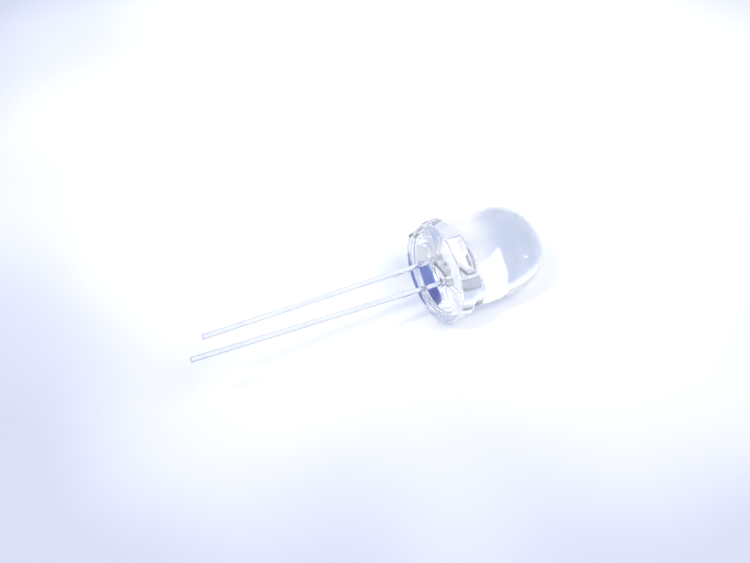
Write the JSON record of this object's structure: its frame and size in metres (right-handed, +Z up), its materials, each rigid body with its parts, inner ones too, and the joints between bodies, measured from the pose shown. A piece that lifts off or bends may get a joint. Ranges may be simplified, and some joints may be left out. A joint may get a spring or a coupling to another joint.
{
  "type": "through hole led",
  "caption": "Round water-clear through-hole LED with a flanged domed lens, lying on its flange and dome with its straight square leads clear of the table.",
  "frame": {"origin": "on the table, under the middle of the whole part's box", "axes": "+X level, from the lead tips to the dome; +Z up; the LED's own axis lies in the XZ plane and dips by 5.5 degrees to the dome; the cathode is up and towards +Y"},
  "size_m": [0.0412, 0.0112, 0.0114],
  "materials": {
    "clear_epoxy": "water-clear cast epoxy, polished by its mould",
    "plated_lead": "tin and silver plated steel, bright with fine drawing lines",
    "die_adhesive": "silver-filled adhesive",
    "chip": "polished sapphire chip",
    "gold_wire": "bright gold"
  },
  "bodies": {
    "root": {"lens_body": "clear_epoxy", "cathode_lead": "plated_lead", "anode_lead": "plated_lead", "die_attach": "die_adhesive", "led_chip": "chip", "cathode_wire": "gold_wire", "anode_wire": "gold_wire"}
  },
  "joints": []
}
